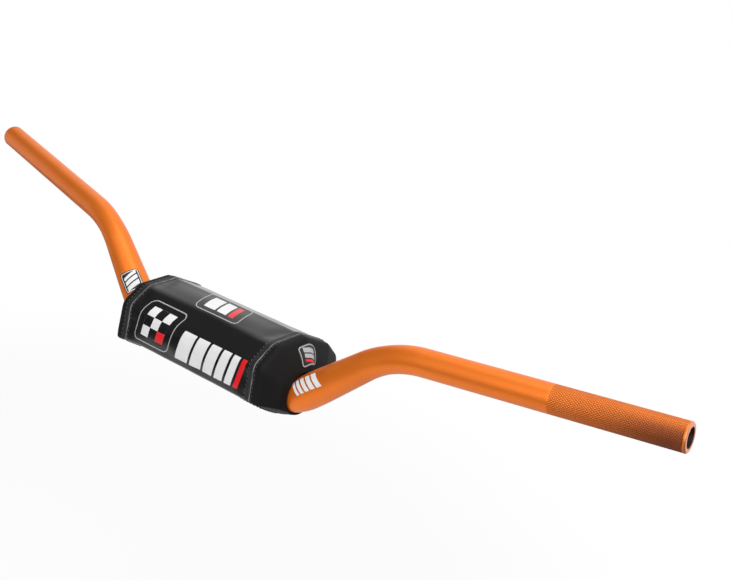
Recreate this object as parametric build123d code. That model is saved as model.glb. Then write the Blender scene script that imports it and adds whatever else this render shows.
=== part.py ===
from build123d import *

import os
from math import asin, cos, pi, radians, sin, tan

# Motocross handlebar: a tapered aluminium tube with a sewn foam pad over its clamp zone.
# Millimetres. Origin: on the tube's axis, in the middle of the clamp zone.
# +X points to the rider's left, -Y to the front of the bike and +Z up.

# Tube: outer and inner sizes, and the taper, from inside the shoulder bend to above the lower one
clamp_diameter = 28.6
clamp_bore = 20.6
grip_diameter = 22.2
grip_bore = 14.5
taper_lead = 33.7
taper_tail = 11.6
bend_stations = 4
end_chamfer = 0.8
end_bore_chamfer = 0.5

# Bends: half spans, sweep to the rear and rise of each corner of the centreline
lower_half_span = 95.5
shoulder_half_span = 178.7
shoulder_sweep = 16.0
shoulder_rise = 69.1
bar_half_width = 405.6
bar_sweep = 54.3
bar_rise = 87.3
lower_bend_radius = 53.0
shoulder_bend_radius = 92.0

# Pad section, from the foot of the front face round to the sole under the tube
pad_front = 37.4
face_lean = 3.3
face_height = 32.1
crease_run = 19.4
crease_rise = 13.4
top_run = 30.0
top_rise = 2.2
back_run = 28.7
back_drop = 14.2
shoulder_run = 11.0
shoulder_drop = 13.5
heel_run = 2.0
heel_drop = 13.0
heel_tuck = 9.0
heel_foot_drop = 8.0
sole_half_width = 4.5
sole_depth = 2.2

# Corner radii of the pad section
face_foot_radius = 3.5
face_top_radius = 12.0
crease_radius = 7.0
top_back_radius = 6.0
back_radius = 8.0
sole_radius = 4.0
corner_chords = 3

# Pad length: it ends just past the lower corners; back from there lie the rim and the seam
pad_past_corner = 6.5
end_depth = 14.0
rim_to_seam = 10.0
end_narrowing = 0.6
end_centre_back = 3.0
end_centre_low = 5.0

# Cover, binding, straps and tapes
cover_thickness = 1.2
binding_width = 5.0
binding_thickness = 0.9
panel_gap = 0.3
rear_seam_drop = 4.0
seam_slack = 0.1
front_hem = 10.0
rear_hem = 26.0
panel_slit = 3.0
panel_slit_offset = 7.0
hole_clearance = 1.0
hole_reach = 10.0
strap_width = 20.0
strap_thickness = 1.2
strap_seam = 3.0
strap_margin = 1.0
tape_thickness = 0.9
tape_length = 14.0
tape_margin = 1.0

# Foam: channel for the tube, wider where the tube bends, and pocket for the clamps
foam_slack = 0.2
tube_clearance = 0.7
bend_clearance = 2.8
pocket_half_length = 62.0
pocket_front = 28.0
pocket_rear = 31.0
pocket_height = 22.0
pocket_corner_radius = 8.0

# Longer than any size here, for cutting tools that pass right through
beyond = 2 * bar_half_width

clamp_radius = clamp_diameter / 2
grip_radius = grip_diameter / 2
sole_level = -clamp_radius - sole_depth
pad_half_length = lower_half_span + pad_past_corner
rim_half_span = pad_half_length - end_depth
seam_half_span = rim_half_span - rim_to_seam


def centreline():
    """Centreline from the left bar end to the middle: three straights joined by two arcs."""
    corners = [
        (bar_half_width, bar_sweep, bar_rise),
        (shoulder_half_span, shoulder_sweep, shoulder_rise),
        (lower_half_span, 0, 0),
        (0, 0, 0),
    ]
    return FilletPolyline(*corners, radius=[shoulder_bend_radius, lower_bend_radius])


def station(path, distance):
    """Plane square to the centreline at a distance from the bar end, with a steady x direction."""
    point = path.position_at(distance, position_mode=PositionMode.LENGTH)
    along = path.tangent_at(distance, position_mode=PositionMode.LENGTH)
    side = Vector(0, 1, 0) - along * along.Y
    return Plane(origin=point, x_dir=side, z_dir=along)


def straight(path, start, end, radius):
    """Round bar on a straight stretch of the centreline."""
    return extrude(station(path, start) * Circle(radius), amount=end - start)


def bend(path, start, end, radius, bend_radius):
    """Round bar on an arc of the centreline: a stretch of a torus."""
    first = station(path, start)
    last = station(path, end)
    turn_axis = first.z_dir.cross(last.z_dir).normalized()
    inward = turn_axis.cross(first.z_dir)
    axis = Axis(first.origin + inward * bend_radius, turn_axis)
    turn = first.z_dir.get_angle(last.z_dir)
    return revolve(first * Circle(radius), axis=axis, revolution_arc=turn)


def taper(path, start, end, start_radius, end_radius, stations):
    """Cone that follows the centreline, lofted through evenly spaced circles."""
    circles = []
    for n in range(stations):
        share = n / (stations - 1)
        plane = station(path, start + share * (end - start))
        circles.append(plane * Circle(start_radius + share * (end_radius - start_radius)))
    return loft(circles)


def bar_form(end_radius, middle_radius):
    """Solid bar of the tube's shape, with one radius at the grips and one in the middle."""
    path = centreline()
    lengths = [edge.length for edge in path.edges()]
    shoulder_start = lengths[0]
    upright_start = shoulder_start + lengths[1]
    lower_start = upright_start + lengths[2]
    middle_start = lower_start + lengths[3]
    taper_start = shoulder_start + taper_lead
    taper_end = lower_start - taper_tail
    half = straight(path, 0, shoulder_start, end_radius)
    half += bend(path, shoulder_start, taper_start, end_radius, shoulder_bend_radius)
    share = (upright_start - taper_start) / (taper_end - taper_start)
    radius_after_bend = end_radius + share * (middle_radius - end_radius)
    half += taper(path, taper_start, upright_start, end_radius, radius_after_bend, bend_stations)
    half += taper(path, upright_start, taper_end, radius_after_bend, middle_radius, 2)
    half += straight(path, taper_end, lower_start, middle_radius)
    half += bend(path, lower_start, middle_start, middle_radius, lower_bend_radius)
    half += straight(path, middle_start, middle_start + lengths[4], middle_radius)
    return half + mirror(half, about=Plane.YZ)


def chamfer_ring(tube, end_index, size_index, size):
    """Chamfer one circle at a bar end: size_index 0 is the bore's edge and -1 the outer edge."""
    rims = tube.edges().filter_by(GeomType.CIRCLE).group_by(Axis.X)[end_index]
    return chamfer(rims.sort_by(SortBy.RADIUS)[size_index], size)


def handlebar_tube():
    """Bent tube with a tapered wall and an open, chamfered bore at each end."""
    tube = bar_form(grip_radius, clamp_radius) - bar_form(grip_bore / 2, clamp_bore / 2)
    for end_index in (0, -1):
        tube = chamfer_ring(tube, end_index, -1, end_chamfer)
        tube = chamfer_ring(tube, end_index, 0, end_bore_chamfer)
    return tube


def pad_corners():
    """Corners of the pad's section as (y, z), each with its rounding radius."""
    front_top = (-pad_front + face_lean, face_height)
    crease = (front_top[0] + crease_run, front_top[1] + crease_rise)
    top_back = (crease[0] + top_run, crease[1] + top_rise)
    back = (top_back[0] + back_run, top_back[1] - back_drop)
    shoulder = (back[0] + shoulder_run, back[1] - shoulder_drop)
    heel = (shoulder[0] + heel_run, shoulder[1] - heel_drop)
    foot = (heel[0] - heel_tuck, heel[1] - heel_foot_drop)
    return [
        ((-pad_front, 0), face_foot_radius),
        (front_top, face_top_radius),
        (crease, crease_radius),
        (top_back, top_back_radius),
        (back, back_radius),
        (shoulder, back_radius),
        (heel, back_radius),
        (foot, sole_radius),
        ((sole_half_width, sole_level), sole_radius),
        ((-sole_half_width, sole_level), sole_radius),
    ]


def pad_section(x, inset=0.0):
    """Pad section at station x with true arcs at its corners, drawn in by inset."""
    corners = [corner for corner, radius in pad_corners()]
    radii = [radius for corner, radius in pad_corners()]
    face = make_face(FilletPolyline(*corners, radius=radii, close=True))
    if inset:
        face = offset(face, amount=-inset)
    return Plane.YZ.offset(x) * face


def chord_points(previous, corner, following, radius):
    """Points along the arc that rounds a corner, from one side of the corner to the other."""
    back = (previous - corner).normalized()
    forward = (following - corner).normalized()
    half = radians(back.get_angle(forward)) / 2
    centre = corner + (back + forward).normalized() * (radius / sin(half))
    first = corner + back * (radius / tan(half)) - centre
    last = corner + forward * (radius / tan(half)) - centre
    turn = pi - 2 * half
    points = []
    for n in range(corner_chords + 1):
        share = n / corner_chords
        swung = first * sin((1 - share) * turn) + last * sin(share * turn)
        points.append(centre + swung * (1 / sin(turn)))
    return points


def faceted_section(x, inset, size):
    """Corners of the pad section at station x with chords for arcs, scaled and then drawn in."""
    corners = [Vector(0, y, z) for (y, z), radius in pad_corners()]
    radii = [radius for corner, radius in pad_corners()]
    outline = []
    for n in range(len(corners)):
        following = corners[(n + 1) % len(corners)]
        outline += chord_points(corners[n - 1], corners[n], following, radii[n])
    centre = Vector(0, end_centre_back, -end_centre_low)
    outline = [centre + (point - centre) * size for point in outline]
    points = []
    for n in range(len(outline)):
        back = (outline[n - 1] - outline[n]).normalized()
        forward = (outline[(n + 1) % len(outline)] - outline[n]).normalized()
        half = radians(back.get_angle(forward)) / 2
        moved = outline[n] + (back + forward).normalized() * (inset / sin(half))
        points.append((x, moved.Y, moved.Z))
    return points


def pad_solid(inset):
    """Whole pad drawn in by inset: a straight middle and two ends that close on the tube."""
    end = pad_half_length - inset
    points = []
    for side in (1, -1):
        points += faceted_section(side * rim_half_span, inset, 1)
        points += faceted_section(side * end, inset, end_narrowing)
    return ConvexPolyhedron(points)


def pad_ring(start, end, inner_inset, outer_inset):
    """Sleeve round the pad between two stations and two insets."""
    outer = extrude(pad_section(start, outer_inset), amount=end - start)
    return outer - extrude(pad_section(start, inner_inset), amount=end - start)


def block(x_range, y_range, z_range):
    """Rectangular block between its limits along each axis."""
    sizes = [high - low for low, high in (x_range, y_range, z_range)]
    middle = [(high + low) / 2 for low, high in (x_range, y_range, z_range)]
    return Pos(*middle) * Box(*sizes)


def lower_bend_start():
    """Station in x where the left lower bend starts, and the direction in which it rises."""
    upright = Vector(shoulder_half_span - lower_half_span, shoulder_sweep, shoulder_rise)
    turn = radians(Vector(1, 0, 0).get_angle(upright))
    start = lower_half_span - lower_bend_radius * tan(turn / 2)
    return start, Vector(0, shoulder_sweep, shoulder_rise).normalized()


def bend_plane(x):
    """Plane square to the tube where the left lower bend passes station x."""
    start, rise = lower_bend_start()
    angle = asin((x - start) / lower_bend_radius)
    point = Vector(x, 0, 0) + rise * (lower_bend_radius * (1 - cos(angle)))
    return Plane(origin=point, z_dir=Vector(1, 0, 0) * cos(angle) + rise * sin(angle))


def foam_channel():
    """Channel for the tube, open below: straight in the middle, slanted where the tube bends."""
    radius = clamp_radius + tube_clearance
    start, rise = lower_bend_start()
    middle = Rot(0, 90, 0) * Cylinder(radius, 2 * (start + bend_clearance))
    mouth = block((-start, start), (-radius, radius), (2 * sole_level, 0))
    first = Vector(start, 0, 0)
    last = bend_plane(pad_half_length).origin
    wide = clamp_radius + bend_clearance
    slant_plane = Plane(origin=first, z_dir=last - first)
    reach = (last - first).length + wide
    slant = extrude(slant_plane * Circle(wide), amount=reach)
    slant_mouth = block((start, beyond), (-radius, last.Y + radius), (2 * sole_level, 0))
    side = slant + slant_mouth
    return middle + mouth + side + mirror(side, about=Plane.YZ)


def foam_core():
    """Foam block with a channel for the tube and a pocket for the clamps, both open below."""
    pocket = block(
        (-pocket_half_length, pocket_half_length),
        (-pocket_front, pocket_rear),
        (2 * sole_level, pocket_height),
    )
    pocket = fillet(pocket.edges().filter_by(Axis.Z), pocket_corner_radius)
    return pad_solid(cover_thickness + foam_slack) - foam_channel() - pocket


def cover_wrap():
    """Glossy front and top panel, with its hem turned under the foot of the front face."""
    sleeve = pad_ring(-seam_half_span, seam_half_span, cover_thickness, 0)
    front = block((-beyond, beyond), (-beyond, -pad_front + front_hem), (-beyond, beyond))
    top = block((-beyond, beyond), (-beyond, beyond), (rear_seam_level(), beyond))
    return sleeve & (front + top)


def rear_seam_level():
    """Height of the rear seam, a little below the top rear corner of the pad."""
    return face_height + crease_rise + top_rise - back_drop - rear_seam_drop


def cover_back():
    """Rear panel, from the rear seam down and round to its hem under the rear of the pad."""
    sleeve = pad_ring(-seam_half_span, seam_half_span, cover_thickness, 0)
    hem = pad_depth_back() - rear_hem
    below_seam = (-beyond, rear_seam_level() - panel_gap)
    return sleeve & block((-beyond, beyond), (hem, beyond), below_seam)


def pad_depth_back():
    """Distance of the pad's rearmost corner behind the tube's axis."""
    return max(y for (y, z), radius in pad_corners())


def end_panel():
    """Left end panel: a shell from the seam to the end face, holed for the tube and slit below."""
    start = seam_half_span + panel_gap
    body = pad_solid(0) - pad_solid(cover_thickness)
    keep = block((start, beyond), (-beyond, beyond), (-beyond, beyond))
    circle = bend_plane(pad_half_length) * Circle(clamp_radius + hole_clearance)
    hole = extrude(circle, amount=hole_reach, both=True)
    slit_from = panel_slit_offset
    slit = block((0, beyond), (slit_from, slit_from + panel_slit), (2 * sole_level, 0))
    return (body & keep) - hole - slit


def seam_binding():
    """Left binding tape, folded over the seam round the front, top and back of the pad."""
    start = seam_half_span + panel_gap / 2 - binding_width / 2
    band = pad_ring(start, start + binding_width, -seam_slack, -seam_slack - binding_thickness)
    return band & block((0, beyond), (-beyond, beyond), (0, beyond))


def under_strip(x_range, inner_line, thickness):
    """Strip of webbing under the pad: a line of (y, z) points given a thickness downwards."""
    outer_line = [(y, z - thickness) for y, z in reversed(inner_line)]
    face = make_face(Polyline(*inner_line, *outer_line, close=True))
    return extrude(Plane.YZ.offset(x_range[0]) * face, amount=x_range[1] - x_range[0])


def underside(y):
    """Height of the pad's underside at a distance y behind the tube's axis."""
    corners = [corner for corner, radius in pad_corners()]
    foot, sole_rear, sole_front, toe = corners[-3], corners[-2], corners[-1], corners[0]
    if y > sole_rear[0]:
        share = (y - sole_rear[0]) / (foot[0] - sole_rear[0])
        return sole_rear[1] + share * (foot[1] - sole_rear[1])
    if y < sole_front[0]:
        share = (y - sole_front[0]) / (toe[0] - sole_front[0])
        return sole_front[1] + share * (toe[1] - sole_front[1])
    return sole_front[1]


def strap_range():
    """Stations in x of the left strap, just outside the clamp pocket."""
    start = pocket_half_length + strap_margin
    return (start, start + strap_width)


def loop_tape():
    """Left loop tape, sewn under the rear panel's hem."""
    line = [(y, underside(y) - seam_slack) for y in tape_ends()]
    return under_strip(strap_range(), line, tape_thickness)


def hook_tape():
    """Left hook tape, pressed onto the loop tape."""
    drop = 2 * seam_slack + tape_thickness
    line = [(y, underside(y) - drop) for y in tape_ends()]
    return under_strip(strap_range(), line, tape_thickness)


def tape_ends():
    """Stations in y of both ends of a tape."""
    start = pad_depth_back() - rear_hem + tape_margin
    return (start, start + tape_length)


def closure_strap():
    """Left strap, sewn under the front hem, that runs under the tube to the hook tape."""
    sewn = -pad_front + front_hem - strap_seam
    drop = 3 * seam_slack + 2 * tape_thickness
    first, last = tape_ends()
    inner = [
        (sewn, underside(sewn) - seam_slack),
        (-sole_half_width, sole_level - seam_slack),
        (sole_half_width, sole_level - seam_slack),
        (first - tape_margin, underside(first - tape_margin) - drop),
        (last, underside(last) - drop),
    ]
    return under_strip(strap_range(), inner, strap_thickness)


def other_side(solid):
    """The same piece on the rider's right."""
    return mirror(solid, about=Plane.YZ)


def build_parts():
    """Every piece of the handlebar by its name."""
    parts = {
        "handlebar_tube": handlebar_tube(),
        "foam_core": foam_core(),
        "cover_wrap": cover_wrap(),
        "cover_back": cover_back(),
    }
    paired = {
        "end_panel": end_panel(),
        "seam_binding": seam_binding(),
        "closure_strap": closure_strap(),
        "loop_tape": loop_tape(),
        "hook_tape": hook_tape(),
    }
    for name, solid in paired.items():
        parts[name + "_left"] = solid
        parts[name + "_right"] = other_side(solid)
    return parts


os.makedirs("parts", exist_ok=True)
for name, solid in build_parts().items():
    solid.label = name
    export_step(solid, f"parts/{name}.step")
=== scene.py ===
import math

import bmesh
import bpy
import numpy as np
from mathutils import Matrix, Vector


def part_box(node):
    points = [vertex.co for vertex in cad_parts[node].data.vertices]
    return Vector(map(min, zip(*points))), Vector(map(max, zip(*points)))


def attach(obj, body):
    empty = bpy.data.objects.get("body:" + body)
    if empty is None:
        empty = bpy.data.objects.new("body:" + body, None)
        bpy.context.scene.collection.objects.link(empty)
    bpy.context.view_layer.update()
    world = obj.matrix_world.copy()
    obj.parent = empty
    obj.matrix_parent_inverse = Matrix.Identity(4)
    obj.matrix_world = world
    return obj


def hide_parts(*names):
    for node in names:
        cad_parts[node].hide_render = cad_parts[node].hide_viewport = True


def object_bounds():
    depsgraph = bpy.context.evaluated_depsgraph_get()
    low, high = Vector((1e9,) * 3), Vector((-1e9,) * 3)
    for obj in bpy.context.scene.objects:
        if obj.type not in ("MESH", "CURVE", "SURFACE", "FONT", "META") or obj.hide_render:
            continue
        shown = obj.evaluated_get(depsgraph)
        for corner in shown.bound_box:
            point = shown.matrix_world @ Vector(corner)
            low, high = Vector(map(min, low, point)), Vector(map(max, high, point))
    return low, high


# A motocross handlebar: a bent, tapered tube with a sewn foam pad over its clamp zone.
# Metres. Origin on the tube's axis in the middle; +X to the rider's left, -Y forward, +Z up.
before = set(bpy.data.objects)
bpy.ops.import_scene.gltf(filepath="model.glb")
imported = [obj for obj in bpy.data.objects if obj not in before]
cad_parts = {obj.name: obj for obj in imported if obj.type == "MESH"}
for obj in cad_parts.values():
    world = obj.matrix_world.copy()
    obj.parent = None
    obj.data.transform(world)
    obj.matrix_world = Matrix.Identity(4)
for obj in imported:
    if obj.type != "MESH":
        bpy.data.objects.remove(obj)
cadBox = [list(corner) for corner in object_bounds()]
body = "root"
print("frame loaded:", len(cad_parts), "nodes")


def operator(operation, turned=False):
    # A method that puts a wire, or a wire with another one or a number, through one maths node.
    def method(self, other=0.0):
        first, second = (other, self) if turned else (self, other)
        return self.add("Math", {0: first, 1: second}, operation=operation)
    return method


class Wire:
    # One socket of a node tree, so that shader maths reads as plain Python.
    def __init__(self, tree, socket=None):
        self.tree = tree
        self.socket = socket

    def add(self, kind, values=None, **settings):
        # Any shader node: its settings are set first, then the values or links of its sockets.
        node = self.tree.nodes.new("ShaderNode" + kind)
        for key, value in settings.items():
            setattr(node, key, value)
        for key, value in (values or {}).items():
            if isinstance(value, Wire):
                self.tree.links.new(value.socket, node.inputs[key])
            else:
                node.inputs[key].default_value = value
        return Wire(self.tree, node.outputs[0] if len(node.outputs) else None)

    def pick(self, name):
        # Another output of the same node.
        return Wire(self.tree, self.socket.node.outputs[name])

    __add__ = __radd__ = operator("ADD")
    __sub__ = operator("SUBTRACT")
    __rsub__ = operator("SUBTRACT", turned=True)
    __mul__ = __rmul__ = operator("MULTIPLY")
    __truediv__ = operator("DIVIDE")
    __mod__ = operator("FLOORED_MODULO")
    __lt__ = operator("LESS_THAN")
    __abs__ = operator("ABSOLUTE")
    least = operator("MINIMUM")
    most = operator("MAXIMUM")
    fraction = operator("FRACT")
    root = operator("SQRT")
    sine = operator("SINE")

    def ramp(self, low, high):
        # 0 below low and 1 above high, smooth between; low above high turns it round.
        return self.add("MapRange", {0: self, 1: low, 2: high}, interpolation_type="SMOOTHSTEP")

    def mixed(self, first, second):
        # The colour first where this mask is 0 and second where it is 1.
        return self.add("Mix", {0: self, 6: first, 7: second}, data_type="RGBA").pick(2)


def rgb(red, green, blue):
    return (red, green, blue, 1.0)


def grey(level):
    return rgb(level, level, level)


def emptyTree(owner):
    # The cleared node tree of a material or a world.
    owner.use_nodes = True
    owner.node_tree.nodes.clear()
    return Wire(owner.node_tree)


def newMaterial(name, paint, fixed=None):
    # paint gets a Wire and returns what is linked; fixed holds the shader's plain values.
    made = bpy.data.materials.new(name)
    wire = emptyTree(made)
    shader = wire.add("BsdfPrincipled", {**(fixed or {}), **paint(wire)})
    wire.add("OutputMaterial", {"Surface": shader})
    return made


def objectPlace(wire):
    return wire.add("TexCoord").pick("Object")


def pieceCoordinates(wire):
    # The piece's own UV map, in metres along and across it.
    separate = wire.add("SeparateXYZ", {0: wire.add("UVMap", uv_map="metres")})
    return separate, separate.pick(1)


def noise(wire, scale, detail=2.0, rough=0.5):
    values = {"Vector": objectPlace(wire), "Scale": scale, "Detail": detail, "Roughness": rough}
    return wire.add("TexNoise", values)


def cells(wire, scale):
    return wire.add("TexVoronoi", {"Vector": objectPlace(wire), "Scale": scale})


def bump(wire, height, distance, strength):
    return wire.add("Bump", {"Height": height, "Distance": distance, "Strength": strength})


# Flat prints as fields of colour: boxField gives the distance outside a shape in metres.
cornerRadii = {"chequer": 0.0008, "bar": 0.0005, "redCell": 0.0006}


def boxField(u, v, centre, half, rounding=0.0, slant=0.0):
    # Box leaning by slant (metres aside for each metre up), with rounded corners.
    y = v - centre[1]
    x = u - centre[0] - y * slant
    outX = (abs(x) - (half[0] - rounding)).most(0.0)
    outY = (abs(y) - (half[1] - rounding)).most(0.0)
    return (outX * outX + outY * outY).root() - rounding


def inside(field, soft=0.00012):
    # 1 inside the shape and 0 outside, with a short soft edge.
    return field.ramp(soft, -soft)


def keyline(field, width):
    # A line of that width along the shape's edge.
    return inside(abs(field) - width / 2)


def nearestOf(fields):
    # Distance outside whichever of the shapes is nearest.
    union = fields[0]
    for field in fields[1:]:
        union = union.least(field)
    return union


def chequer(u, v, block):
    # Square cells, every other one filled; cells is their number across and up.
    size, (across, up), centre = block["cell"], block["cells"], block["centre"]
    half = (size * across / 2, size * up / 2)
    field = boxField(u, v, centre, half, cornerRadii["chequer"], block["slant"])
    y = v - centre[1]
    column = ((u - centre[0] - y * block["slant"]) / size + across / 2) % 2.0 < 1.0
    row = (y / size + up / 2) % 2.0 < 1.0
    return inside(field) * (1.0 - abs(column - row))


def leaningBars(u, v, row):
    # A row of leaning bars about its centre, each as wide as its number says.
    widths, gap = row["widths"], row["gap"]
    edge = row["centre"][0] - (sum(widths) + gap * (len(widths) - 1)) / 2
    bars = []
    for width in widths:
        place = (edge + width / 2, row["centre"][1])
        half = (width / 2, row["half"])
        bars.append(boxField(u, v, place, half, cornerRadii["bar"], row["slant"]))
        edge += width + gap
    return bars


# The tube's centreline and sizes.
bar = {
    "corners": [(0.4056, 0.0543, 0.0873), (0.1787, 0.0160, 0.0691), (0.0955, 0.0, 0.0), (0.0, 0.0, 0.0)],
    "bendRadii": [0.092, 0.053],
    "gripRadius": 0.0111,
    "clampRadius": 0.0143,
    "gripBore": 0.00725,
    "clampBore": 0.0103,
    "taperLead": 0.0337,
    "taperLength": 0.0715,
    "chamfer": 0.0008,
    "boreChamfer": 0.0005,
    "bendStep": 0.0024,
    "straightStep": 0.008,
    "boreStep": 0.009,
    "support": 0.0003,
    "knurlLength": 0.0985,
    "knurlMargin": 0.0012,
    "knurlStarts": 38,
    "knurlSlope": 0.7,
    "knurlDepth": 0.00024,
    "knurlStep": 0.00045,
    "knurlColumns": 5,
    "knurlEdge": 0.0012,
    "gripShade": (0.003, 0.0135),
    "grainScale": 2600.0,
}
knurlPitch = 2 * math.pi * bar["gripRadius"] / bar["knurlStarts"]


def unit(ways):
    # The same directions with length 1.
    return ways / np.maximum(np.linalg.norm(ways, axis=-1, keepdims=True), 1e-12)


def runAlong(points):
    # Length of a line of points up to each of them.
    return np.concatenate([[0.0], np.cumsum(np.linalg.norm(np.diff(points, axis=0), axis=1))])


def softSign(value, power):
    # The value's sign times its size to a power below 1: a circle of these is a rounded square.
    return np.sign(value) * np.abs(value) ** power


def barRuns():
    # Straights and arcs of half the centreline, from the left end: start, direction, length, bend.
    corners = [np.array(corner) for corner in bar["corners"]]
    ways = [unit(b - a) for a, b in zip(corners, corners[1:])]
    turns = [math.acos(float(a @ b)) for a, b in zip(ways, ways[1:])]
    cuts = [0.0] + [r * math.tan(turn / 2) for r, turn in zip(bar["bendRadii"], turns)] + [0.0]
    runs = []
    for n, way in enumerate(ways):
        length = np.linalg.norm(corners[n + 1] - corners[n]) - cuts[n] - cuts[n + 1]
        start = corners[n] + way * cuts[n]
        runs.append({"start": start, "way": way, "length": length, "radius": None})
        if n < len(turns):
            radius = bar["bendRadii"][n]
            towards = unit(ways[n + 1] - way * float(way @ ways[n + 1]))
            runs.append({"start": start + way * length, "way": way, "towards": towards,
                         "length": radius * turns[n], "radius": radius})
    return runs


runs = barRuns()
halfLength = sum(run["length"] for run in runs)
fullLength = 2 * halfLength
taperStart = runs[0]["length"] + bar["taperLead"]


def barLine(distance):
    # Centre and direction at each distance from the left end; past the middle it is mirrored.
    distance = np.asarray(distance, float)
    mirrored = distance > halfLength
    folded = np.where(mirrored, fullLength - distance, distance)
    centre = np.zeros(distance.shape + (3,))
    way = np.zeros(distance.shape + (3,))
    done = 0.0
    for run in runs:
        here = folded >= done - 1e-9
        along = (folded - done)[here][:, None]
        if run["radius"] is None:
            centre[here] = run["start"] + run["way"] * along
            way[here] = run["way"]
        else:
            angle = along / run["radius"]
            swing = run["way"] * np.sin(angle) + run["towards"] * (1 - np.cos(angle))
            centre[here] = run["start"] + run["radius"] * swing
            way[here] = run["way"] * np.cos(angle) + run["towards"] * np.sin(angle)
        done += run["length"]
    centre[mirrored] *= (-1, 1, 1)
    way[mirrored] *= (1, -1, -1)
    return centre, way


def barRadius(distance, gripSize, clampSize):
    # The wall tapers evenly from the grip's radius to the clamp zone's.
    folded = np.minimum(distance, fullLength - distance)
    share = np.clip((folded - taperStart) / bar["taperLength"], 0, 1)
    return gripSize + share * (clampSize - gripSize)


def ringsAlongBar(distance, radius, angle):
    # Point of each ring: the centre plus the radius times the ring's side and up directions.
    # The side direction is the +Y axis made square to the tube; up is square to both.
    centre, way = barLine(distance)
    side = unit(np.array([0.0, 1.0, 0.0]) - way * way[:, 1:2])[:, None, :]
    up = np.cross(side, way[:, None, :])
    out = np.sin(angle)[:, None] * side + np.cos(angle)[:, None] * up
    size = radius[:, None, None] if radius.ndim == 1 else radius[..., None]
    return centre[:, None, :] + size * out


# Meshes are gathered in stores of corners, quads, materials and UVs, and then finished.
mergeReach = 0.000004


def newStore():
    return {"points": [], "quads": [], "surface": [], "metres": [], "count": 0}


def addFaces(store, points, quads, surface=0, metres=0.0):
    # Quads are numbered through the whole store; one whose last corner is below 0 is a triangle.
    points = points.reshape(-1, 3)
    quads = quads.reshape(-1, 4)
    store["points"].append(points)
    store["quads"].append(quads)
    store["surface"].append(np.broadcast_to(surface, len(quads)))
    store["metres"].append(np.broadcast_to(metres, (len(quads), 4, 2)))
    store["count"] += len(points)


def addGrid(store, points, metres=None, closeAround=False, surface=0):
    # A grid of points (rows, columns, 3). A closed grid's UVs have one column more than its points.
    rows, columns = points.shape[:2]
    index = np.arange(rows * columns).reshape(rows, columns) + store["count"]
    if closeAround:
        index = np.concatenate([index, index[:, :1]], axis=1)
    if metres is None:
        metres = np.zeros(index.shape + (2,))
    quads, corners = (np.stack([grid[:-1, :-1], grid[1:, :-1], grid[1:, 1:], grid[:-1, 1:]], axis=2)
                      for grid in (index, metres))
    surface = np.broadcast_to(surface, quads.shape[:2]).reshape(-1)
    addFaces(store, points, quads, surface, corners.reshape(-1, 4, 2))


def capEnds(store, points):
    # Closes both ends of a tube, the first grid of its store, with a fan about the ring's centre.
    rows, columns = points.shape[:2]
    for row in (0, rows - 1):
        index = np.arange(columns) + row * columns
        fan = [index, np.roll(index, -1), np.full(columns, store["count"]), np.full(columns, -1)]
        addFaces(store, points[row].mean(axis=0), np.stack(fan, axis=-1))


def getAll(items, name):
    values = np.zeros(len(items) * 3, np.float32)
    items.foreach_get(name, values)
    return values.reshape(-1, 3).astype(float)


def setAll(items, name, values, kind=np.float32):
    items.foreach_set(name, np.asarray(values).astype(kind).ravel())


def newObject(name, data):
    made = bpy.data.objects.new(name, data)
    bpy.context.scene.collection.objects.link(made)
    return made


def newPiece(name, mesh, replaced=None):
    # A piece on the body, and the CAD node that it stands for, which is hidden.
    piece = newObject(name, mesh)
    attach(piece, body)
    if replaced:
        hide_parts(replaced)
    return piece


def finishMesh(name, store, materials, replaced=None):
    # One piece from a store. Doubles are merged, so that seams and rims are closed, before the
    # faces are turned outwards.
    points, quads, surface, metres = (
        np.concatenate(store[key]) for key in ("points", "quads", "surface", "metres"))
    used = quads >= 0
    sizes = used.sum(axis=1)
    mesh = bpy.data.meshes.new(name)
    mesh.vertices.add(len(points))
    mesh.loops.add(int(sizes.sum()))
    mesh.polygons.add(len(quads))
    setAll(mesh.vertices, "co", points)
    setAll(mesh.loops, "vertex_index", quads[used], np.int32)
    setAll(mesh.polygons, "loop_start", np.cumsum(sizes) - sizes, np.int32)
    setAll(mesh.polygons, "material_index", surface, np.int32)
    setAll(mesh.polygons, "use_smooth", np.ones(len(quads)), bool)
    setAll(mesh.uv_layers.new(name="metres").data, "uv", metres[used])
    mesh.update(calc_edges=True)
    mesh.validate()
    for made in materials:
        mesh.materials.append(made)
    shell = bmesh.new()
    shell.from_mesh(mesh)
    bmesh.ops.remove_doubles(shell, verts=shell.verts, dist=mergeReach)
    bmesh.ops.recalc_face_normals(shell, faces=shell.faces)
    shell.to_mesh(mesh)
    shell.free()
    return newPiece(name, mesh, replaced)


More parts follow.
